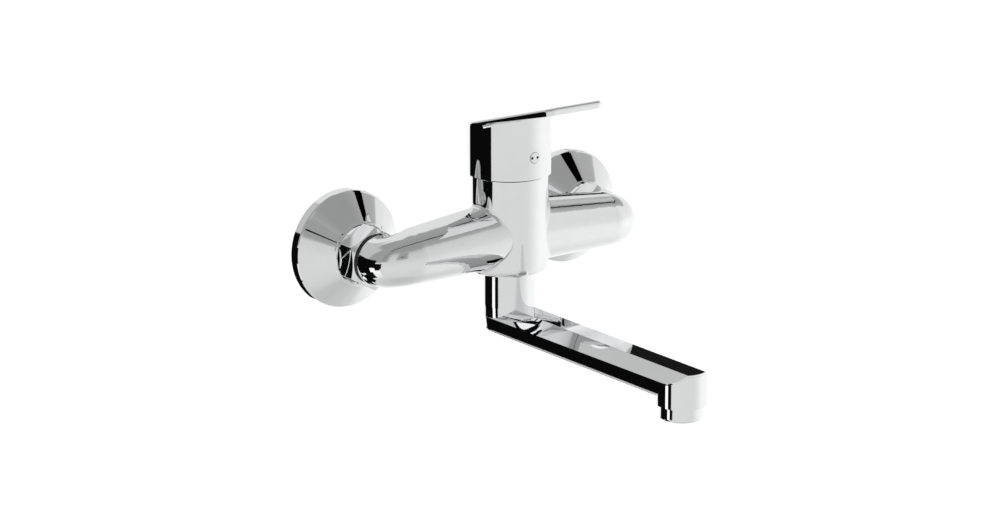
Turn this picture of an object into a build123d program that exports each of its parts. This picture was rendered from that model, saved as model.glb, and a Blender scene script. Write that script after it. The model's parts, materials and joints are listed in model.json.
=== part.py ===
from build123d import *
import math
import os

# Wall mounted single lever mixer with a swivel spout.
# Units are millimetres. The wall is the plane Y = 0 and the mixer stands out towards -Y.
# +X is to the right, +Z is up. The origin lies on the wall, midway between the two inlets.

# Driving dimensions
INLET_SPACING = 150.0
BODY_REACH = 50.0            # wall to the axis of the barrel
BARREL_R = 21.0
BARREL_TOP = 39.6
BARREL_BOTTOM = -14.2
SPOUT_REACH = 145.0          # swivel axis to outlet axis
LEVER_FRONT = 58.0           # barrel axis to the front edge of the lever
ESCUTCHEON_R = 32.1
CARTRIDGE_R = 17.3           # 35 mm cartridge
LIFT_PIVOT_Z = 32.0

INLET_X = INLET_SPACING / 2
AXIS_Y = -BODY_REACH
TIP_Y = AXIS_Y - SPOUT_REACH

# Inlet side, distances measured out from the wall along -Y
RIM_DEPTH = 6.6
LIP_DEPTH = 20.2
LIP_R = 16.9
NUT_BACK = 20.8
NUT_FRONT = 33.6
NUT_FLATS = 30.0             # across flats, for a G3/4 union nut
G34_R = 13.2
G12_R = 10.48
G12_LENGTH = 16.0
S_UNION_END = 26.5
ECCENTRICITY = 7.5           # wall thread axis below the inlet axis
GASKET_END = 28.5
SHOULDER = 31.0
BOSS_FACE = 35.4
BOSS_R = 13.6
NIPPLE_END = 45.0
NIPPLE_R = 10.2
PASSAGE_R = 7.0

# Arms
BEND_R = 12.5
ARM_END_R = 15.2
ARM_END_Z = 3.9
ARM_ROOT_R = 18.6
ARM_ROOT_Z = 7.3
ELBOW_CORE_R = 1.6
JUNCTION_R = 2.5
BARREL_FOOT_R = 5.0
NUT_SEAT_R = 18.3
CHANNEL_R = 6.0
CHANNEL_Z = 3.0
CHANNEL_INNER_X = 7.0

# Cartridge, heights above the inlet axis
FLOOR_Z = 12.0
BASE_TOP = 15.0
FIXED_DISC_TOP = 17.6
DISC_GAP = 0.05
MOVING_DISC_TOP = 20.2
CARRIER_TOP = 25.2
HOUSING_TOP = 36.4
ROTOR_TOP = 38.0
THREAD_BOTTOM = 30.0
NUT_THREAD_R = 18.95
PORT_R = 3.3
INLET_PORT = (7.5, 4.5)
OUTLET_PORT = (0.0, -7.2)
DISC_OFFSET = 2.0            # moving disc sits back of the axis while the valve is closed
BALL_DROP = 9.2              # pivot to the ball of the stem
BALL_R = 2.2

# Lever
SKIRT_R = 22.5
SKIRT_INNER_R = 21.2
SKIRT_BOTTOM = 40.0
CAVITY_TOP = 59.0
PLATE_SLOPE = 0.288
PLATE_TOP_Z = 70.7            # height of the plate's top face on the barrel axis
UNDERSIDE_SLOPE = 0.25        # less than the top, so the plate thickens towards its front
UNDERSIDE_Z = 68.8            # height of the underside, carried back to the barrel axis
PLATE_FRONT_HALF = 18.2
PLATE_CORNER_R = 4.5
PLATE_EDGE_R = 1.6
UNDERSIDE_R = 2.5             # rounded corner between skirt and plate
BLEND_START = 6.0             # it begins this far in front of the axis
LEVER_HEADROOM = 100.0        # above every part of the lever
JOIN_DEPTH = 0.3              # the skirt runs this far into the plate
HUB_R = 6.5
HUB_BOTTOM = 48.5
STEM_SIDE = 6.0
STEM_TOP = 57.0
SCREW_Z = 52.0
PLUG_R = 3.1
MARK_R = 0.75
MARK_X = 1.75

# Spout
NECK_R = 14.0
NECK_TOP = -14.7
SWIVEL_R = 10.44
SWIVEL_BORE_R = 10.5
SWIVEL_END = -36.0
NECK_FLOOR = -37.0
BAR_TOP = -32.9
BAR_SHOULDER = -38.9
BAR_BOTTOM = -47.6
BAR_TOP_HALF = 5.7
BAR_ROOT_HALF = 13.7
TIP_R = 13.0
TIP_BOTTOM = -51.3
BAR_EDGE_R = 3.0
BAR_DRAFT = 0.9
DRAFT_TOP = -39.3             # the sides of the bar lean in below this height
BAR_TIP_HALF = 12.9
TIP_EDGE_R = 1.5
NECK_BOTTOM = -32.6
ROOT_TOP_R = 13.85
ROOT_FOOT_R = 13.6
WATER_HALF_WIDTH = 7.5
WATER_TOP = -37.4
WATER_BOTTOM = -44.6
AERATOR_R = 11.25
AERATOR_THREAD_R = 11.0
AERATOR_BOTTOM = -59.0
AERATOR_TOP = -45.2
RETAINER_Z = -28.0


def upright(radius, low, high, x=0.0, y=0.0):
    """Solid cylinder along Z, placed relative to the barrel axis."""
    height = high - low
    return Pos(x, AXIS_Y + y, low + height / 2) * Cylinder(radius, height)


def upright_ring(outer, inner, low, high, x=0.0, y=0.0):
    """Ring along Z, placed relative to the barrel axis."""
    return upright(outer, low, high, x, y) - upright(inner, low - 1, high + 1, x, y)


def level(radius, near, far, x, z=0.0):
    """Solid cylinder along Y between two distances out from the wall."""
    length = far - near
    return Pos(x, -(near + far) / 2, z) * Rot(90, 0, 0) * Cylinder(radius, length)


def level_ring(outer, inner, near, far, x, z=0.0):
    """Ring along Y between two distances out from the wall."""
    return level(outer, near, far, x, z) - level(inner, near - 1, far + 1, x, z)


def across(radius, x0, x1, y, z):
    """Solid cylinder along X."""
    return Pos((x0 + x1) / 2, y, z) * Rot(0, 90, 0) * Cylinder(radius, abs(x1 - x0))


def turned_level(outline, x):
    """Revolve (radius, distance from the wall) points about the inlet axis at x."""
    points = [(radius, -out, 0) for radius, out in outline]
    face = make_face(Polyline(*points, close=True))
    return Pos(x, 0, 0) * revolve(face, Axis.Y)


def turned_upright(outline):
    """Revolve (radius, height) points about the barrel axis."""
    points = [(radius, 0, height) for radius, height in outline]
    face = make_face(Polyline(*points, close=True))
    return Pos(0, AXIS_Y, 0) * revolve(face, Axis.Z)


# Body ------------------------------------------------------------------------------------------

def elbow_section(turn):
    """Outer part of the elbow's section; turn 0 is at the boss, 1 where the straight arm starts."""
    heading = turn * math.pi / 2
    ease = turn * turn * (3 - 2 * turn)
    radius = BOSS_R + (ARM_END_R - BOSS_R) * ease
    centre_x = INLET_X - BEND_R * (1 - math.cos(heading))
    centre_y = -(BODY_REACH - BEND_R) - BEND_R * math.sin(heading)
    across_bend = (math.cos(heading), -math.sin(heading), 0)
    direction = (-math.sin(heading), -math.cos(heading), 0)
    plane = Plane((centre_x, centre_y, ARM_END_Z * ease), x_dir=across_bend, z_dir=direction)
    inner = ELBOW_CORE_R - BEND_R
    half_chord = math.sqrt(radius * radius - inner * inner)
    arc = ThreePointArc((inner, -half_chord), (radius, 0), (inner, half_chord))
    chord = Line((inner, half_chord), (inner, -half_chord))
    return plane * make_face([arc, chord])


def arm():
    """Right arm: boss for the inlet, elbow, and a straight taper into the barrel."""
    elbow_x = INLET_X - BEND_R
    boss = level(BOSS_R, BOSS_FACE, BODY_REACH - BEND_R, INLET_X)
    elbow = loft([elbow_section(i / 6) for i in range(7)])
    core_half = ELBOW_CORE_R * 3
    core = upright(ELBOW_CORE_R + 0.2, -core_half, core_half, elbow_x, BEND_R)
    root = Plane((0, AXIS_Y, ARM_ROOT_Z), x_dir=(0, 1, 0), z_dir=(1, 0, 0)) * Circle(ARM_ROOT_R)
    end = Plane((elbow_x, AXIS_Y, ARM_END_Z), x_dir=(0, 1, 0), z_dir=(1, 0, 0)) * Circle(ARM_END_R)
    return boss + elbow + core + loft([root, end])


def body():
    barrel = upright(BARREL_R, BARREL_BOTTOM, BARREL_TOP)
    right = arm()
    shape = barrel + right + mirror(right, Plane.YZ)
    shape = fillet(junction_edges(shape), JUNCTION_R)
    shape = fillet(shape.edges().group_by(Axis.Z)[0], BARREL_FOOT_R)
    shape = chamfer(shape.edges().group_by(Axis.Z)[-1], 0.4)
    # Cartridge chamber with the thread of its nut
    shape -= upright(CARTRIDGE_R + 0.1, FLOOR_Z, BARREL_TOP + 1)
    shape -= upright(NUT_THREAD_R + 0.05, THREAD_BOTTOM, BARREL_TOP + 1)
    for side in (-1, 1):
        x = side * INLET_X
        # Seat of the union nut, cut square to the inlet axis
        shape -= level(NUT_SEAT_R, NUT_BACK, BOSS_FACE, x)
        shape -= level(NIPPLE_R, BOSS_FACE - 1, NIPPLE_END, x)
        shape -= level(PASSAGE_R, NIPPLE_END, BODY_REACH + 2, x)
        shape -= across(CHANNEL_R, side * CHANNEL_INNER_X, x, AXIS_Y, CHANNEL_Z)
        shape -= upright(PORT_R, CHANNEL_Z, FLOOR_Z + 1, side * 8.5, INLET_PORT[1] - 1.5)
    # Mixed water way down to the spout
    shape -= upright(PORT_R, -5.0, FLOOR_Z + 1, *OUTLET_PORT)
    shape -= upright(9.5, BARREL_BOTTOM - 1, -3.5)
    return shape


def junction_edges(shape):
    """Edges where the straight arms run into the barrel."""
    found = []
    for edge in shape.edges():
        middle = edge.position_at(0.5)
        radial = math.hypot(middle.X, middle.Y - AXIS_Y)
        if abs(radial - BARREL_R) < 0.05 and abs(middle.X) > 1.0 and edge.geom_type != GeomType.CIRCLE:
            found.append(edge)
    return found


# Inlets ----------------------------------------------------------------------------------------

def escutcheon(x):
    """Spun cover plate: a rim on the wall, a cone and a rolled lip."""
    outline = [
        (ESCUTCHEON_R - 0.3, 0.0), (ESCUTCHEON_R, 0.4), (ESCUTCHEON_R, RIM_DEPTH - 0.9),
        (ESCUTCHEON_R - 0.3, RIM_DEPTH - 0.25), (ESCUTCHEON_R - 1.0, RIM_DEPTH + 0.3),
        (LIP_R + 0.7, LIP_DEPTH - 1.3), (LIP_R + 0.2, LIP_DEPTH - 0.5), (LIP_R - 0.4, LIP_DEPTH),
        (LIP_R - 1.1, LIP_DEPTH - 0.3), (LIP_R - 1.3, LIP_DEPTH - 1.0),
        (LIP_R - 1.3, LIP_DEPTH - 2.4), (LIP_R - 0.3, LIP_DEPTH - 2.6),
        (ESCUTCHEON_R - 1.3, RIM_DEPTH - 1.2), (ESCUTCHEON_R - 1.3, 0.0),
    ]
    return turned_level(outline, x)


def s_union(x):
    """Eccentric connector: wall thread, cranked middle and union thread."""
    wall_thread = level(G12_R, -G12_LENGTH, 0.6, x, -ECCENTRICITY)
    middle = level(13.0, 0.6, 8.5, x) + level(13.0, 0.6, 8.5, x, -ECCENTRICITY)
    union_thread = level(G34_R, 8.5, S_UNION_END, x)
    shape = wall_thread + middle + union_thread
    shape -= level(7.5, -G12_LENGTH - 1, 5.0, x, -ECCENTRICITY)
    shape -= level(8.0, 4.0, S_UNION_END + 1, x)
    shape -= level(5.5, 2.5, 7.0, x, -ECCENTRICITY / 2)
    return shape


def union_nut(x):
    """Hexagon nut with chamfered corners, an inner thread and a shoulder."""
    length = NUT_FRONT - NUT_BACK
    corner_r = NUT_FLATS / math.sqrt(3)
    hexagon = RegularPolygon(radius=corner_r, side_count=6, rotation=30)
    prism = Pos(x, -NUT_FRONT, 0) * Rot(-90, 0, 0) * extrude(hexagon, length)
    envelope = turned_level([
        (0, NUT_BACK), (corner_r - 1.6, NUT_BACK), (corner_r - 0.1, NUT_BACK + 1.2),
        (corner_r - 0.1, NUT_FRONT - 2.0), (corner_r - 2.8, NUT_FRONT), (0, NUT_FRONT),
    ], x)
    shape = prism & envelope
    shape -= level(G34_R + 0.05, NUT_BACK - 1, SHOULDER, x)
    shape -= level(NIPPLE_R + 0.3, SHOULDER - 1, NUT_FRONT + 1, x)
    return shape


def inlet_nipple(x):
    """Flanged nipple that keeps the union nut on the body."""
    shape = level(11.9, GASKET_END, SHOULDER, x) + level(NIPPLE_R, SHOULDER, NIPPLE_END, x)
    return shape - level(PASSAGE_R, GASKET_END - 1, NIPPLE_END + 1, x)


def spacer_ring(x):
    """Black ring between the nut and the boss."""
    return level_ring(13.0, NIPPLE_R + 0.1, NUT_FRONT + 0.1, BOSS_FACE - 0.2, x)


def strainer_gasket(x):
    return level_ring(12.2, 7.6, S_UNION_END, GASKET_END, x)


def strainer(x):
    """Perforated disc held inside the gasket."""
    disc = level(7.5, S_UNION_END + 0.7, S_UNION_END + 1.3, x)
    for column in range(-2, 3):
        for row in range(-2, 3):
            if abs(column) + abs(row) < 4:
                disc -= level(0.7, S_UNION_END, GASKET_END, x + column * 2.3, row * 2.3)
    return disc


# Cartridge -------------------------------------------------------------------------------------

PORTS = [(INLET_PORT[0], INLET_PORT[1]), (-INLET_PORT[0], INLET_PORT[1]), OUTLET_PORT]


def cartridge_base():
    shape = upright(CARTRIDGE_R, FLOOR_Z, BASE_TOP)
    for x, y in PORTS:
        shape -= upright(PORT_R, FLOOR_Z - 1, BASE_TOP + 1, x, y)
        shape -= upright(PORT_R + 1.3, FLOOR_Z - 1, FLOOR_Z + 1.5, x, y)
    return shape


def cartridge_seals():
    """Three rubber seals under the base, one round each port."""
    rings = [upright_ring(PORT_R + 1.25, PORT_R, FLOOR_Z, FLOOR_Z + 1.5, x, y) for x, y in PORTS]
    return Compound(children=rings)


def fixed_disc():
    shape = upright(13.2, BASE_TOP, FIXED_DISC_TOP)
    for x, y in PORTS:
        shape -= upright(PORT_R - 0.5, BASE_TOP - 1, FIXED_DISC_TOP + 1, x, y)
    return shape


def cartridge_housing():
    """Plastic cup that holds the discs, with a hole in its roof for the rotor."""
    shape = upright(CARTRIDGE_R, BASE_TOP, HOUSING_TOP)
    shape -= upright(13.3, BASE_TOP - 1, FIXED_DISC_TOP)
    shape -= upright(15.2, FIXED_DISC_TOP - 0.01, HOUSING_TOP - 1.8)
    return shape - upright(9.0, HOUSING_TOP - 3, HOUSING_TOP + 1)


def cartridge_nut():
    """Threaded ring with a hexagon collar that presses the cartridge down."""
    shape = upright(NUT_THREAD_R, HOUSING_TOP, BARREL_TOP)
    collar = Pos(0, AXIS_Y, BARREL_TOP) * extrude(RegularPolygon(radius=15.6, side_count=6), 3.4)
    return shape + collar - upright(12.5, HOUSING_TOP - 1, BARREL_TOP + 5)


def cover_ring():
    """Conical trim ring over the cartridge nut, hidden by the lever until it is lifted."""
    return turned_upright([
        (20.2, BARREL_TOP), (20.2, BARREL_TOP + 0.5), (16.8, BARREL_TOP + 3.6),
        (16.0, BARREL_TOP + 3.6), (16.0, BARREL_TOP + 2.6), (19.0, BARREL_TOP),
    ])


def moving_disc():
    shape = upright(9.6, FIXED_DISC_TOP + DISC_GAP, MOVING_DISC_TOP, 0, DISC_OFFSET)
    middle = FIXED_DISC_TOP + DISC_GAP + 1.5
    return shape - upright(6.0, FIXED_DISC_TOP - 1, middle, 0, DISC_OFFSET - 1.5)


def disc_carrier():
    """Plastic shoe on the moving disc, with the socket for the ball of the stem."""
    shape = upright(9.6, MOVING_DISC_TOP, CARRIER_TOP, 0, DISC_OFFSET)
    return shape - upright(BALL_R + 0.3, MOVING_DISC_TOP - 1, CARRIER_TOP + 1)


def rotor():
    """Turning guide of the stem: it holds the pivot pin and sets the mixing angle."""
    low = CARRIER_TOP + 0.2
    shape = upright(14.8, low, HOUSING_TOP - 2.1) + upright(8.7, low, ROTOR_TOP)
    slot = Box(STEM_SIDE + 0.5, 14.0, ROTOR_TOP - low + 2)
    shape -= Pos(0, AXIS_Y, (ROTOR_TOP + low) / 2) * slot
    return shape - across(1.25, -8.0, 8.0, AXIS_Y, LIFT_PIVOT_Z)


def rotor_seal():
    """O-ring round the neck of the rotor."""
    ring = Torus(major_radius=9.55, minor_radius=0.8)
    return Pos(0, AXIS_Y, HOUSING_TOP + 0.8) * ring


def stem_pin():
    return across(1.25, -8.0, 8.0, AXIS_Y, LIFT_PIVOT_Z)


def stem():
    """Square lever spindle with a ball at its foot."""
    low = LIFT_PIVOT_Z - BALL_DROP
    bar_low = low + 3.5
    bar = Box(STEM_SIDE, STEM_SIDE, STEM_TOP - bar_low)
    shape = Pos(0, AXIS_Y, (STEM_TOP + bar_low) / 2) * bar
    shape += upright(1.5, low, bar_low + 1)
    shape += Pos(0, AXIS_Y, low) * Sphere(BALL_R)
    return shape - across(1.31, -10, 10, AXIS_Y, LIFT_PIVOT_Z)


# Lever -----------------------------------------------------------------------------------------

def below_plane(slope, height):
    """Large block under a plane that rises towards the front and has this height on the axis."""
    block = Pos(0, 0, -100) * Box(200, 400, 200)
    return Pos(0, AXIS_Y, height) * Rot(-math.degrees(math.atan(slope)), 0, 0) * block


def below_mid_plate():
    """Block that ends inside the plate, clear of its rounded top edge."""
    inside = below_plane(UNDERSIDE_SLOPE, UNDERSIDE_Z + JOIN_DEPTH)
    return inside & below_plane(PLATE_SLOPE, PLATE_TOP_Z - 1.1 * PLATE_EDGE_R)


def plate_outline():
    """Plan of the lever: round at the back, with straight sides to a blunt front edge."""
    front_y = AXIS_Y - LEVER_FRONT
    spread = math.hypot(PLATE_FRONT_HALF, LEVER_FRONT)
    touch = math.acos(SKIRT_R / spread)
    bearing = math.atan2(LEVER_FRONT, PLATE_FRONT_HALF)
    angle = bearing - touch
    side_x = SKIRT_R * math.cos(angle)
    side_y = AXIS_Y - SKIRT_R * math.sin(angle)
    back = ThreePointArc((side_x, side_y), (0, AXIS_Y + SKIRT_R), (-side_x, side_y))
    left = Line((-side_x, side_y), (-PLATE_FRONT_HALF, front_y))
    front = Line((-PLATE_FRONT_HALF, front_y), (PLATE_FRONT_HALF, front_y))
    right = Line((PLATE_FRONT_HALF, front_y), (side_x, side_y))
    face = make_face([back, left, front, right])
    corners = face.vertices().group_by(Axis.Y)[0]
    return fillet(corners, PLATE_CORNER_R)


def underside_blend(outline):
    """Front of the lever with the rounded corner where the skirt meets the plate."""
    slab = Pos(0, AXIS_Y, PLATE_TOP_Z) * Box(4 * SKIRT_R, 4 * SKIRT_R, PLATE_TOP_Z)
    inside = below_plane(UNDERSIDE_SLOPE, UNDERSIDE_Z + JOIN_DEPTH)
    slab = (slab & inside) - below_plane(UNDERSIDE_SLOPE, UNDERSIDE_Z)
    wide = (upright(SKIRT_R, SKIRT_BOTTOM + 1, LEVER_HEADROOM) & inside) + slab
    corner = [edge for edge in wide.edges() if is_skirt_ellipse(edge)]
    wide = fillet(corner, UNDERSIDE_R)
    in_front = Pos(0, AXIS_Y - BLEND_START - 2 * SKIRT_R, PLATE_TOP_Z)
    return wide & outline & (in_front * Box(4 * SKIRT_R, 4 * SKIRT_R, 2 * PLATE_TOP_Z))


def is_skirt_ellipse(edge):
    """True for the curve where the skirt runs into the underside of the plate."""
    middle = edge @ 0.5
    on_skirt = abs(math.hypot(middle.X, middle.Y - AXIS_Y) - SKIRT_R) < 0.01
    return on_skirt and edge.geom_type == GeomType.ELLIPSE


def lever():
    """Handle casting: a skirt over the cartridge and a thin sloping plate."""
    outline = Pos(0, 0, SKIRT_BOTTOM) * extrude(plate_outline(), LEVER_HEADROOM - SKIRT_BOTTOM)
    plate = outline & below_plane(PLATE_SLOPE, PLATE_TOP_Z)
    top = plate.faces().sort_by(Axis.Z)[-1]
    plate = fillet(top.edges(), PLATE_EDGE_R) - below_plane(UNDERSIDE_SLOPE, UNDERSIDE_Z)
    skirt = upright(SKIRT_R, SKIRT_BOTTOM, LEVER_HEADROOM) & below_mid_plate()
    shape = skirt + plate + underside_blend(outline)
    cavity = upright(SKIRT_INNER_R, SKIRT_BOTTOM - 1, CAVITY_TOP)
    hub = upright(HUB_R, HUB_BOTTOM, CAVITY_TOP)
    screw_boss = level(4.6, BODY_REACH, BODY_REACH + SKIRT_R - 0.6, 0, SCREW_Z)
    shape -= cavity - hub - screw_boss
    socket_bottom = HUB_BOTTOM - 2
    socket_height = STEM_TOP + 0.5 - socket_bottom
    socket = Box(STEM_SIDE + 0.1, STEM_SIDE + 0.1, socket_height)
    shape -= Pos(0, AXIS_Y, socket_bottom + socket_height / 2) * socket
    shape -= level(2.5, BODY_REACH, BODY_REACH + SKIRT_R + 1, 0, SCREW_Z)
    return shape - level(PLUG_R, BODY_REACH + 10, BODY_REACH + SKIRT_R + 1, 0, SCREW_Z)


def lever_screw():
    """Grub screw with a hexagon socket that clamps the lever on the stem."""
    near = BODY_REACH + STEM_SIDE / 2
    shape = level(2.5, near, near + 6.5, 0, SCREW_Z)
    key = Pos(0, -near - 6.6, SCREW_Z) * Rot(-90, 0, 0) * extrude(RegularPolygon(1.4, 6), 3.0)
    return shape - key


def plug_blank():
    near = BODY_REACH + 12.0
    blank = level(PLUG_R - 0.2, near, BODY_REACH + SKIRT_R + 2, 0, SCREW_Z)
    return blank & upright(SKIRT_R + 0.15, SCREW_Z - 10, SCREW_Z + 10)


def mark(side):
    """Coloured dot let into the face of the plug."""
    near = BODY_REACH + SKIRT_R - 1.2
    pin = level(MARK_R, near, near + 4, side * MARK_X, SCREW_Z)
    return pin & upright(SKIRT_R + 0.2, SCREW_Z - 10, SCREW_Z + 10)


def index_plug():
    shape = plug_blank()
    for side in (-1, 1):
        shape -= level(MARK_R, BODY_REACH + SKIRT_R - 1.2, 100, side * MARK_X, SCREW_Z)
    return shape


# Spout -----------------------------------------------------------------------------------------

def spout_nipple():
    """Brass swivel stem screwed into the bottom of the body."""
    shape = upright(9.45, NECK_TOP, -4.0) + upright(SWIVEL_R, SWIVEL_END, NECK_TOP + 0.4)
    for groove in (-20.0, -33.5):
        shape -= upright_ring(12.0, 8.0, groove - 1.3, groove + 1.3)
    shape -= upright_ring(12.0, 9.2, RETAINER_Z - 2.2, RETAINER_Z + 2.2)
    return shape - upright(6.0, SWIVEL_END - 1, 0)


def spout_o_rings():
    rings = [Pos(0, AXIS_Y, z) * Torus(9.2, 1.2) for z in (-20.0, -33.5)]
    return Compound(children=rings)


def swivel_washer():
    """Black slip ring that shows as a fine line between body and spout."""
    return upright_ring(13.3, SWIVEL_R + 0.05, NECK_TOP + 0.05, BARREL_BOTTOM)


def spout_plan(root_r, tip_r, z):
    """Plan of the spout at height z: two round ends joined by tangent sides."""
    lean = math.asin((root_r - tip_r) / SPOUT_REACH)
    root_x = root_r * math.cos(lean)
    root_y = AXIS_Y - root_r * math.sin(lean)
    tip_x = tip_r * math.cos(lean)
    tip_y = TIP_Y - tip_r * math.sin(lean)
    back = ThreePointArc((root_x, root_y), (0, AXIS_Y + root_r), (-root_x, root_y))
    left = Line((-root_x, root_y), (-tip_x, tip_y))
    front = ThreePointArc((-tip_x, tip_y), (0, TIP_Y - tip_r), (tip_x, tip_y))
    right = Line((tip_x, tip_y), (root_x, root_y))
    return Pos(0, 0, z) * make_face([back, left, front, right])


def facet_cutter(side):
    """Block above one sloping facet, running the whole length of the spout."""
    fall = math.degrees(math.atan2(BAR_TOP - BAR_SHOULDER, BAR_ROOT_HALF - BAR_TOP_HALF))
    block = Pos(0, 0, 10) * Box(50, SPOUT_REACH + 60, 20)
    return Pos(side * BAR_TOP_HALF, (AXIS_Y + TIP_Y) / 2, BAR_TOP) * Rot(0, side * fall, 0) * block


def spout():
    """Cast spout: swivel neck, flat faceted bar and a round tip for the aerator."""
    upper = extrude(spout_plan(BAR_ROOT_HALF, BAR_TIP_HALF, DRAFT_TOP), BAR_TOP - DRAFT_TOP)
    lower = loft([
        spout_plan(BAR_ROOT_HALF, BAR_TIP_HALF, DRAFT_TOP),
        spout_plan(BAR_ROOT_HALF - BAR_DRAFT, BAR_TIP_HALF - BAR_DRAFT, BAR_BOTTOM),
    ])
    lower = fillet(lower.edges().group_by(Axis.Z)[0], BAR_EDGE_R)
    tip = upright(TIP_R, TIP_BOTTOM, BAR_TOP, 0, -SPOUT_REACH)
    for side in (-1, 1):
        upper -= facet_cutter(side)
        tip -= facet_cutter(side)
    top_edges = tip.edges().filter_by(lambda edge: edge.center().Z > BAR_SHOULDER + 0.5)
    tip = fillet(top_edges.filter_by(GeomType.LINE, reverse=True), TIP_EDGE_R)
    bar = upper + lower + tip
    neck = upright(NECK_R, NECK_BOTTOM, NECK_TOP)
    root_height = NECK_BOTTOM - BAR_SHOULDER + 0.5
    root = Pos(0, AXIS_Y, NECK_BOTTOM - root_height / 2) * Cone(ROOT_FOOT_R, ROOT_TOP_R, root_height)
    shape = bar + root + neck
    shape -= upright(SWIVEL_BORE_R, NECK_FLOOR, NECK_TOP + 1)
    shape -= upright(7.5, WATER_BOTTOM, NECK_FLOOR + 1)
    water_height = WATER_TOP - WATER_BOTTOM
    water = Box(2 * WATER_HALF_WIDTH, SPOUT_REACH, water_height)
    shape -= Pos(0, (AXIS_Y + TIP_Y) / 2, (WATER_TOP + WATER_BOTTOM) / 2) * water
    shape -= upright(AERATOR_THREAD_R, TIP_BOTTOM - 1, AERATOR_TOP + 2.0, 0, -SPOUT_REACH)
    shape -= upright(8.0, AERATOR_TOP, WATER_TOP, 0, -SPOUT_REACH)
    return shape - level(2.05, BODY_REACH - 16, BODY_REACH - 9, 0, RETAINER_Z)


def spout_screw():
    """Grub screw at the back of the neck; its point runs in the groove of the nipple."""
    shape = level(2.0, BODY_REACH - 13.4, BODY_REACH - 9.6, 0, RETAINER_Z)
    key = Pos(0, AXIS_Y + 11.6, RETAINER_Z) * Rot(-90, 0, 0) * extrude(RegularPolygon(1.1, 6), 3.0)
    return shape - key


def aerator_housing():
    """Screw-in housing of the aerator with a rounded lower edge."""
    collar = upright(AERATOR_R, AERATOR_BOTTOM, TIP_BOTTOM, 0, -SPOUT_REACH)
    collar = fillet(collar.edges().group_by(Axis.Z)[0], 1.6)
    shape = collar + upright(AERATOR_THREAD_R - 0.02, TIP_BOTTOM, AERATOR_TOP, 0, -SPOUT_REACH)
    return shape - upright(9.3, AERATOR_BOTTOM - 1, AERATOR_TOP + 1, 0, -SPOUT_REACH)


def aerator_insert():
    """Flow straightener: a plastic disc with a grid of holes."""
    low = AERATOR_BOTTOM + 1.2
    shape = upright(9.25, low, AERATOR_TOP, 0, -SPOUT_REACH)
    shape -= upright(8.0, low + 3.0, AERATOR_TOP + 1, 0, -SPOUT_REACH)
    pitch = 2.6
    for column in range(-3, 4):
        for row in range(-3, 4):
            if math.hypot(column, row) * pitch < 7.6:
                y = row * pitch - SPOUT_REACH
                shape -= Pos(column * pitch, AXIS_Y + y, low + 1.5) * Box(1.8, 1.8, 5)
    return shape


def aerator_gasket():
    return upright_ring(10.8, 8.0, AERATOR_TOP, AERATOR_TOP + 2.0, 0, -SPOUT_REACH)


NODES = {
    "body": body(),
    "cartridge_base": cartridge_base(),
    "cartridge_seals": cartridge_seals(),
    "fixed_disc": fixed_disc(),
    "cartridge_housing": cartridge_housing(),
    "cartridge_nut": cartridge_nut(),
    "cover_ring": cover_ring(),
    "rotor": rotor(),
    "rotor_seal": rotor_seal(),
    "stem_pin": stem_pin(),
    "disc_carrier": disc_carrier(),
    "moving_disc": moving_disc(),
    "stem": stem(),
    "lever": lever(),
    "lever_screw": lever_screw(),
    "index_plug": index_plug(),
    "hot_mark": mark(-1),
    "cold_mark": mark(1),
    "spout_nipple": spout_nipple(),
    "spout_o_rings": spout_o_rings(),
    "swivel_washer": swivel_washer(),
    "spout": spout(),
    "spout_screw": spout_screw(),
    "aerator_housing": aerator_housing(),
    "aerator_insert": aerator_insert(),
    "aerator_gasket": aerator_gasket(),
}

INLET_PARTS = {
    "escutcheon": escutcheon,
    "s_union": s_union,
    "union_nut": union_nut,
    "inlet_nipple": inlet_nipple,
    "spacer_ring": spacer_ring,
    "strainer_gasket": strainer_gasket,
    "strainer": strainer,
}
for name, make in INLET_PARTS.items():
    NODES["left_" + name] = make(-INLET_X)
    NODES["right_" + name] = make(INLET_X)

os.makedirs("parts", exist_ok=True)
for name, solid in NODES.items():
    export_step(solid, "parts/" + name + ".step")
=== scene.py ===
import json
import math

import bpy
from mathutils import Matrix, Vector


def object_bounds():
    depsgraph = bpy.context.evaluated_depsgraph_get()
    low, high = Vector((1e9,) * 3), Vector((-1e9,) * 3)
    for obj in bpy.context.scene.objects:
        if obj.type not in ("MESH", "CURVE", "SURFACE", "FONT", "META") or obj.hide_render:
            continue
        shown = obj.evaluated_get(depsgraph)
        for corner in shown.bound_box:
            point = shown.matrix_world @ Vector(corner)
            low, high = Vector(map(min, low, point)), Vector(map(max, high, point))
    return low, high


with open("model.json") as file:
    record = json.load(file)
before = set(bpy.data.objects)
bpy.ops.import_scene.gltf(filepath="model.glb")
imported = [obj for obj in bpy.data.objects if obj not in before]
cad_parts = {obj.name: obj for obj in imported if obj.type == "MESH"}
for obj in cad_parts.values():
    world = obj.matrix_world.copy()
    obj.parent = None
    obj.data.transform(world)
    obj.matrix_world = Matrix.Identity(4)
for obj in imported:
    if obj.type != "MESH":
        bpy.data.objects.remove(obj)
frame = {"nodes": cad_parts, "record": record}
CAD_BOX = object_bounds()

SCENE = bpy.context.scene
SCENE.view_settings.view_transform = "Standard"


# Camera ----------------------------------------------------------------------------------------

# The camera looks CAMERA_TURN to the right of +Y and CAMERA_TILT down.
CAMERA_TURN = math.radians(36.71)
CAMERA_TILT = math.radians(15.72)
CAMERA_PLACE = Vector((-0.93353, -1.29370, 0.42785))
LENS_MM = 108.0
SENSOR_MM = 36.0
CLIP_NEAR = 0.01
CLIP_FAR = 50.0


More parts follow.
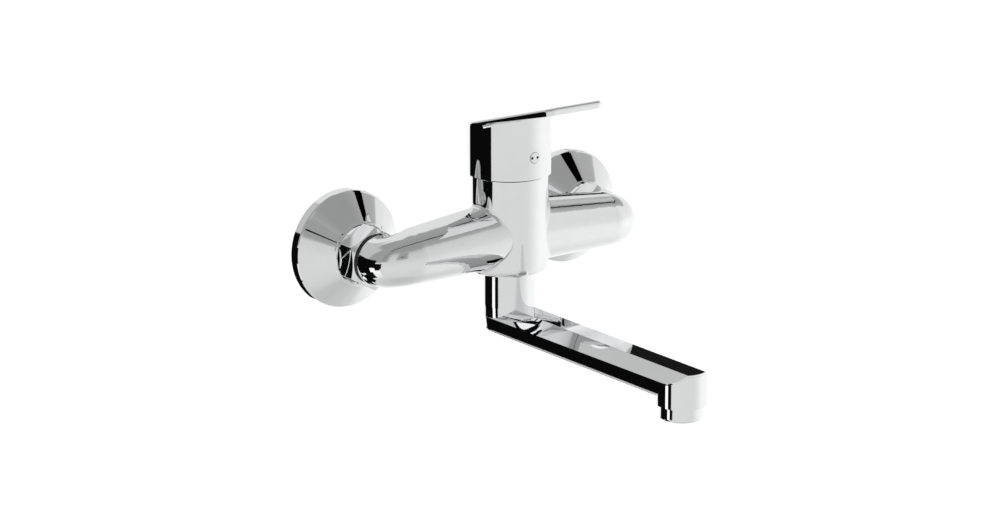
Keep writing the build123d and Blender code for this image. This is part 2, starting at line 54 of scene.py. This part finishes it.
def make_camera():
    """Camera at the photograph's angle."""
    level = math.cos(CAMERA_TILT)
    look = Vector((
        math.sin(CAMERA_TURN) * level,
        math.cos(CAMERA_TURN) * level,
        -math.sin(CAMERA_TILT),
    ))
    right = Vector((math.cos(CAMERA_TURN), -math.sin(CAMERA_TURN), 0.0))
    up = right.cross(look)
    data = bpy.data.cameras.new("camera")
    data.lens = LENS_MM
    data.sensor_width = SENSOR_MM
    data.clip_start = CLIP_NEAR
    data.clip_end = CLIP_FAR
    camera = bpy.data.objects.new("camera", data)
    SCENE.collection.objects.link(camera)
    turn = Matrix((right, up, -look)).transposed().to_4x4()
    camera.matrix_world = Matrix.Translation(CAMERA_PLACE) @ turn
    SCENE.camera = camera


make_camera()


# Node helpers ----------------------------------------------------------------------------------

def new_node(tree, kind, **values):
    """New node with the given attributes."""
    node = tree.nodes.new(kind)
    for key, value in values.items():
        setattr(node, key, value)
    return node


def math_node(tree, operation, first, second=None, third=None):
    """Math node fed by numbers or sockets; returns its output."""
    node = new_node(tree, "ShaderNodeMath", operation=operation)
    for index, value in enumerate((first, second, third)):
        if value is None:
            continue
        if isinstance(value, (int, float)):
            node.inputs[index].default_value = value
        else:
            tree.links.new(value, node.inputs[index])
    return node.outputs[0]


def ramp_node(tree, factor, stops, interpolation="LINEAR"):
    """Colour ramp with grey or colour stops [(position, colour)]; returns its colour output."""
    node = new_node(tree, "ShaderNodeValToRGB")
    ramp = node.color_ramp
    ramp.interpolation = interpolation
    while len(ramp.elements) < len(stops):
        ramp.elements.new(0.5)
    for element, (position, colour) in zip(ramp.elements, stops):
        element.position = position
        if isinstance(colour, (int, float)):
            colour = (colour, colour, colour)
        element.color = (*colour, 1.0)
    tree.links.new(factor, node.inputs[0])
    return node.outputs[0]


def noise_node(tree, coordinates, scale, detail, roughness):
    """Noise texture; returns its value output."""
    node = new_node(tree, "ShaderNodeTexNoise")
    node.inputs["Scale"].default_value = scale
    node.inputs["Detail"].default_value = detail
    node.inputs["Roughness"].default_value = roughness
    tree.links.new(coordinates, node.inputs["Vector"])
    return node.outputs["Fac"]


def smooth_step(tree, value, start, end, to_start=0.0, to_end=1.0):
    """Goes smoothly from to_start to to_end while value goes from start to end."""
    node = new_node(tree, "ShaderNodeMapRange", interpolation_type="SMOOTHSTEP")
    node.inputs["From Min"].default_value = start
    node.inputs["From Max"].default_value = end
    node.inputs["To Min"].default_value = to_start
    node.inputs["To Max"].default_value = to_end
    tree.links.new(value, node.inputs["Value"])
    return node.outputs[0]


def band(tree, value, low, high, soft):
    """1 between low and high, fading to 0 over soft outside them."""
    rise = smooth_step(tree, value, low - soft, low)
    fall = smooth_step(tree, value, high + soft, high)
    return math_node(tree, "MULTIPLY", rise, fall)


def mix_values(tree, share, first, second):
    """Mix of two brightnesses; each may be a number or a socket."""
    mix = new_node(tree, "ShaderNodeMix", data_type="FLOAT")
    tree.links.new(share, mix.inputs["Factor"])
    for name, value in (("A", first), ("B", second)):
        if isinstance(value, float):
            mix.inputs[name].default_value = value
        else:
            tree.links.new(value, mix.inputs[name])
    return mix.outputs["Result"]


# Studio light ----------------------------------------------------------------------------------

WHITE = (1.0, 1.0, 1.0, 1.0)

# Directions in the studio are an azimuth, counted anticlockwise from +X seen from above, and an
# elevation, both in degrees.
# Brightness at a few elevations, on the left side of the studio and on its right side. Between
# them it blends over the azimuths of SIDE_BLEND.
LEFT_SIDE = [
    (-90.0, 0.55), (-72.0, 0.58), (-62.0, 0.68), (-48.0, 0.72), (-30.0, 0.75), (-12.0, 0.75),
    (2.0, 0.70), (12.0, 0.66), (26.0, 0.62), (34.0, 0.56), (42.0, 0.37), (50.0, 0.33), (90.0, 0.36),
]
RIGHT_SIDE = [
    (-90.0, 0.58), (-72.0, 0.62), (-58.0, 0.70), (-50.0, 0.86), (-40.0, 0.96), (-18.0, 1.04),
    (-8.0, 1.00), (-2.0, 0.90), (16.0, 0.86), (36.5, 0.82), (38.5, 0.48), (46.0, 0.40),
    (56.0, 0.33), (90.0, 0.37),
]
SIDE_BLEND = (-80.0, -16.0)
# The edge of the right side's grey ceiling comes down by CEILING_DROP over the azimuths of
# CEILING_TURN. The drop fades in over the elevations of DROP_FADE.
CEILING_TURN = (-24.0, 2.0)
CEILING_DROP = 18.0
DROP_FADE = (0.0, 16.0)

# Panels that the chrome reflects: azimuth range, elevation range, softness across and up,
# brightness. A later panel covers an earlier one, and a range that ends at 180.1 degrees runs on
# to the seam at -X.
PANELS = [
    ((36.0, 100.0), (30.0, 66.0), 14.0, 10.0, 0.80),
    ((52.0, 86.0), (10.0, 34.0), 3.0, 6.0, 0.80),
    ((92.0, 148.0), (14.0, 42.0), 5.0, 8.0, 0.56),
    ((6.0, 24.0), (41.0, 47.0), 5.0, 3.0, 0.54),
    ((152.0, 180.1), (8.0, 62.0), 10.0, 10.0, 0.36),
    ((-180.1, -174.0), (12.0, 62.0), 16.0, 8.0, 0.30),
    ((-140.0, -122.0), (16.0, 36.0), 9.0, 7.0, 0.36),
    ((-137.0, -127.0), (22.0, 23.6), 1.5, 0.6, 0.01),
    ((53.0, 97.0), (-25.0, 4.0), 2.0, 2.0, 1.02),
    ((97.0, 180.1), (-18.6, 0.0), 1.5, 0.5, 0.003),
    ((-180.1, -177.5), (-18.6, 0.0), 1.5, 0.5, 0.003),
    ((97.0, 167.0), (0.0, 11.0), 1.5, 2.0, 0.003),
    ((97.0, 160.0), (-26.0, -18.0), 1.5, 0.5, 0.003),
    ((66.0, 159.0), (-38.0, -24.0), 2.0, 1.5, 0.003),
    ((77.0, 157.0), (-51.0, -38.0), 2.0, 1.5, 0.003),
    ((103.0, 133.0), (-58.0, -50.0), 3.0, 1.5, 0.003),
    ((153.0, 166.5), (-30.0, -16.1), 1.0, 0.3, 1.20),
    ((93.0, 104.0), (-43.5, -39.5), 3.0, 1.0, 1.10),
    ((115.0, 131.0), (-37.5, -34.0), 2.0, 1.0, 0.90),
    ((167.0, 180.1), (-24.0, -17.0), 1.0, 0.5, 0.003),
    ((44.0, 51.2), (12.0, 26.0), 1.0, 1.0, 0.01),
]
# A thin dark line across the ceiling: its elevation at a few azimuths.
CEILING_LINE = [
    (-180.0, 48.0), (-176.0, 50.3), (-164.0, 57.8), (-143.0, 64.0), (-120.0, 67.2), (-95.0, 67.8),
    (-70.0, 66.6), (-38.0, 58.4), (-5.0, 43.8), (6.0, 40.0),
]
LINE_HALF_WIDTH = 1.1
LINE_SOFTNESS = 0.7
LINE_END_FADE = 4.0
LINE_BRIGHTNESS = 0.02
BACKDROP_BRIGHTNESS = 1.0

# Floor, its lamp and the black flag over it. Lengths are in metres.
FLOOR_X = (-3.0, 4.5)
FLOOR_Y = (-3.0, 5.5)
FLOOR_DROP = 0.35
FLOOR_LAMP_STRENGTH = 2.15
FLOOR_LAMP_SPREAD = math.radians(90.0)
FLAG_X = (0.200, 0.315)
FLAG_Y = (-0.205, -0.03)
FLAG_HEIGHT = 0.315


def elevation_ramp(tree, elevation, stops):
    """Brightness by elevation, straight between the stops."""
    share = math_node(tree, "MULTIPLY_ADD", elevation, 1.0 / 180.0, 0.5)
    half = [(degrees / 180.0 + 0.5, brightness / 2.0) for degrees, brightness in stops]
    return math_node(tree, "MULTIPLY", ramp_node(tree, share, half), 2.0)


def line_share(tree, azimuth, elevation):
    """1 on the ceiling's line, fading to 0 beside it and past its last azimuth."""
    turn = math_node(tree, "MULTIPLY_ADD", azimuth, 1.0 / 360.0, 0.5)
    stops = [(across / 360.0 + 0.5, up / 90.0) for across, up in CEILING_LINE]
    height = math_node(tree, "MULTIPLY", ramp_node(tree, turn, stops), 90.0)
    above = math_node(tree, "SUBTRACT", elevation, height)
    beside = band(tree, above, -LINE_HALF_WIDTH, LINE_HALF_WIDTH, LINE_SOFTNESS)
    last = CEILING_LINE[-1][0]
    along = smooth_step(tree, azimuth, last + LINE_END_FADE, last)
    return math_node(tree, "MULTIPLY", beside, along)


def studio_brightness(tree):
    """Brightness of the studio in each direction."""
    where = new_node(tree, "ShaderNodeTexCoord").outputs["Generated"]
    split = new_node(tree, "ShaderNodeSeparateXYZ")
    tree.links.new(where, split.inputs[0])
    x, y, z = split.outputs
    azimuth = math_node(tree, "MULTIPLY", math_node(tree, "ARCTAN2", y, x), 180.0 / math.pi)
    elevation = math_node(tree, "MULTIPLY", math_node(tree, "ARCSINE", z), 180.0 / math.pi)
    drop = smooth_step(tree, azimuth, *CEILING_TURN, 0.0, CEILING_DROP)
    upper = smooth_step(tree, elevation, *DROP_FADE)
    lowered = math_node(tree, "MULTIPLY_ADD", drop, upper, elevation)
    left_side = elevation_ramp(tree, elevation, LEFT_SIDE)
    right_side = elevation_ramp(tree, lowered, RIGHT_SIDE)
    to_right = smooth_step(tree, azimuth, *SIDE_BLEND)
    brightness = mix_values(tree, to_right, left_side, right_side)
    for azimuths, elevations, soft_across, soft_up, panel_brightness in PANELS:
        across = band(tree, azimuth, *azimuths, soft_across)
        upright = band(tree, elevation, *elevations, soft_up)
        share = math_node(tree, "MULTIPLY", across, upright)
        brightness = mix_values(tree, share, brightness, panel_brightness)
    line = line_share(tree, azimuth, elevation)
    return mix_values(tree, line, brightness, LINE_BRIGHTNESS)


def make_world():
    """Plain backdrop for the camera; the studio with its panels for light and reflections."""
    world = bpy.data.worlds.new("studio")
    SCENE.world = world
    world.use_nodes = True
    tree = world.node_tree
    tree.nodes.clear()
    seen = new_node(tree, "ShaderNodeBackground")
    seen.inputs["Color"].default_value = WHITE
    seen.inputs["Strength"].default_value = BACKDROP_BRIGHTNESS
    studio = new_node(tree, "ShaderNodeBackground")
    studio.inputs["Color"].default_value = WHITE
    tree.links.new(studio_brightness(tree), studio.inputs["Strength"])
    ray = new_node(tree, "ShaderNodeLightPath").outputs["Is Camera Ray"]
    choose = new_node(tree, "ShaderNodeMixShader")
    tree.links.new(ray, choose.inputs[0])
    tree.links.new(studio.outputs[0], choose.inputs[1])
    tree.links.new(seen.outputs[0], choose.inputs[2])
    out = new_node(tree, "ShaderNodeOutputWorld")
    tree.links.new(choose.outputs[0], out.inputs["Surface"])


def level_sheet(name, x_range, y_range, height):
    """Flat rectangle at one height."""
    (left, right), (near, far) = x_range, y_range
    mesh = bpy.data.meshes.new(name)
    corners = [(left, near), (right, near), (right, far), (left, far)]
    mesh.from_pydata([(x, y, height) for x, y in corners], [], [(0, 1, 2, 3)])
    sheet = bpy.data.objects.new(name, mesh)
    SCENE.collection.objects.link(sheet)
    return sheet


def matt_paint(name, grey, roughness, specular):
    """Plain matt grey for what only stages the object."""
    paint = bpy.data.materials.new(name)
    paint.use_nodes = True
    shader = paint.node_tree.nodes["Principled BSDF"]
    shader.inputs["Base Color"].default_value = (grey, grey, grey, 1.0)
    shader.inputs["Roughness"].default_value = roughness
    shader.inputs["Specular IOR Level"].default_value = specular
    return paint


def make_floor():
    """Plain pale floor, well below the spout and left out of the reflections."""
    floor = level_sheet("floor", FLOOR_X, FLOOR_Y, CAD_BOX[0][2] - FLOOR_DROP)
    paint = matt_paint("floor_paint", grey=0.9, roughness=0.9, specular=0.5)
    floor.data.materials.append(paint)
    floor.visible_glossy = False


def make_floor_light():
    """Even light from above that whitens the floor and stays out of the reflections."""
    data = bpy.data.lights.new("floor_light", "SUN")
    data.energy = FLOOR_LAMP_STRENGTH
    data.angle = FLOOR_LAMP_SPREAD
    lamp = bpy.data.objects.new("floor_light", data)
    lamp.visible_glossy = False
    SCENE.collection.objects.link(lamp)


def make_flag():
    """Narrow black flag over the right side, seen only as a stripe in the polished covers."""
    flag = level_sheet("flag", FLAG_X, FLAG_Y, FLAG_HEIGHT)
    cloth = matt_paint("flag_cloth", grey=0.0, roughness=1.0, specular=0.0)
    flag.data.materials.append(cloth)
    flag.visible_camera = False
    flag.visible_shadow = False
    flag.visible_diffuse = False


make_world()
make_floor()
make_floor_light()
make_flag()


# Materials -------------------------------------------------------------------------------------

def start_material(name):
    """New node material with its tree, its shader and the object's own coordinates."""
    material = bpy.data.materials.new(name)
    material.use_nodes = True
    tree = material.node_tree
    shader = tree.nodes["Principled BSDF"]
    where = new_node(tree, "ShaderNodeTexCoord").outputs["Object"]
    return material, tree, shader, where


def set_bump(tree, shader, height, strength, distance):
    """Relief of the shader from a height, with its distance in metres."""
    bump = new_node(tree, "ShaderNodeBump")
    bump.inputs["Strength"].default_value = strength
    bump.inputs["Distance"].default_value = distance
    tree.links.new(height, bump.inputs["Height"])
    tree.links.new(bump.outputs[0], shader.inputs["Normal"])


def chrome(name, tint, roughness):
    """Polished chrome plate: a clean mirror with faint polishing haze and water marks."""
    material, tree, shader, where = start_material(name)
    shader.inputs["Metallic"].default_value = 1.0
    cloud = noise_node(tree, where, scale=55.0, detail=4.0, roughness=0.6)
    darker = tuple(0.97 * part for part in tint)
    tone = ramp_node(tree, cloud, [(0.35, darker), (0.65, tint)])
    tree.links.new(tone, shader.inputs["Base Color"])
    grain = noise_node(tree, where, scale=900.0, detail=2.0, roughness=0.5)
    haze = math_node(tree, "MULTIPLY_ADD", cloud, roughness * 0.8, roughness * 0.5)
    fine = math_node(tree, "MULTIPLY_ADD", grain, roughness * 0.4, haze)
    tree.links.new(fine, shader.inputs["Roughness"])
    set_bump(tree, shader, cloud, strength=0.02, distance=0.0004)
    return material


def turned_metal(name, tint, roughness):
    """Machined metal with fine turning lines."""
    material, tree, shader, where = start_material(name)
    shader.inputs["Metallic"].default_value = 1.0
    cloud = noise_node(tree, where, scale=90.0, detail=4.0, roughness=0.6)
    darker = tuple(0.72 * part for part in tint)
    tone = ramp_node(tree, cloud, [(0.3, darker), (0.7, tint)])
    tree.links.new(tone, shader.inputs["Base Color"])
    wave = new_node(tree, "ShaderNodeTexWave", wave_type="BANDS", bands_direction="Y")
    wave.inputs["Scale"].default_value = 420.0
    wave.inputs["Distortion"].default_value = 1.5
    tree.links.new(where, wave.inputs["Vector"])
    lines = wave.outputs["Fac"]
    tree.links.new(
        math_node(tree, "MULTIPLY_ADD", lines, roughness * 0.5, roughness * 0.8),
        shader.inputs["Roughness"],
    )
    set_bump(tree, shader, lines, strength=0.15, distance=0.0001)
    return material


def moulded(name, tint, roughness, grain_scale, gloss=0.0):
    """Moulded plastic, rubber or lapped ceramic: a soft grain and slight mottling."""
    material, tree, shader, where = start_material(name)
    cloud = noise_node(tree, where, scale=120.0, detail=4.0, roughness=0.6)
    darker = tuple(0.85 * part for part in tint)
    tone = ramp_node(tree, cloud, [(0.3, darker), (0.7, tint)])
    tree.links.new(tone, shader.inputs["Base Color"])
    grain = noise_node(tree, where, scale=grain_scale, detail=2.0, roughness=0.5)
    tree.links.new(
        math_node(tree, "MULTIPLY_ADD", grain, 0.2 * roughness, 0.9 * roughness),
        shader.inputs["Roughness"],
    )
    shader.inputs["Coat Weight"].default_value = gloss
    set_bump(tree, shader, grain, strength=0.2, distance=0.00005)
    return material


CHROME = (0.90, 0.905, 0.91)
MATERIALS = {
    "chrome_body": chrome("chrome_body", CHROME, 0.025),
    "chrome_trim": chrome("chrome_trim", CHROME, 0.025),
    "chrome_lever": chrome("chrome_lever", CHROME, 0.025),
    "chrome_spout": chrome("chrome_spout", CHROME, 0.025),
    "raw_brass": turned_metal("raw_brass", (0.78, 0.60, 0.32), 0.28),
    "steel": turned_metal("steel", (0.62, 0.61, 0.60), 0.3),
    "ceramic": moulded("ceramic", (0.88, 0.86, 0.82), 0.25, 600.0),
    "white_plastic": moulded("white_plastic", (0.82, 0.82, 0.80), 0.45, 900.0),
    "grey_plastic": moulded("grey_plastic", (0.34, 0.35, 0.37), 0.45, 900.0),
    "chromed_plastic": chrome("chromed_plastic", (0.86, 0.865, 0.87), 0.04),
    "black_rubber": moulded("black_rubber", (0.012, 0.012, 0.013), 0.5, 1200.0),
    "red_mark": moulded("red_mark", (0.05, 0.004, 0.004), 0.5, 900.0, 0.1),
    "blue_mark": moulded("blue_mark", (0.004, 0.007, 0.05), 0.5, 900.0, 0.1),
}

SLOT_OF = {entry["node"]: entry["material_slot"] for entry in frame["record"]["subparts"]}
for node_name, node_object in frame["nodes"].items():
    node_object.data.materials.clear()
    node_object.data.materials.append(MATERIALS[SLOT_OF[node_name]])
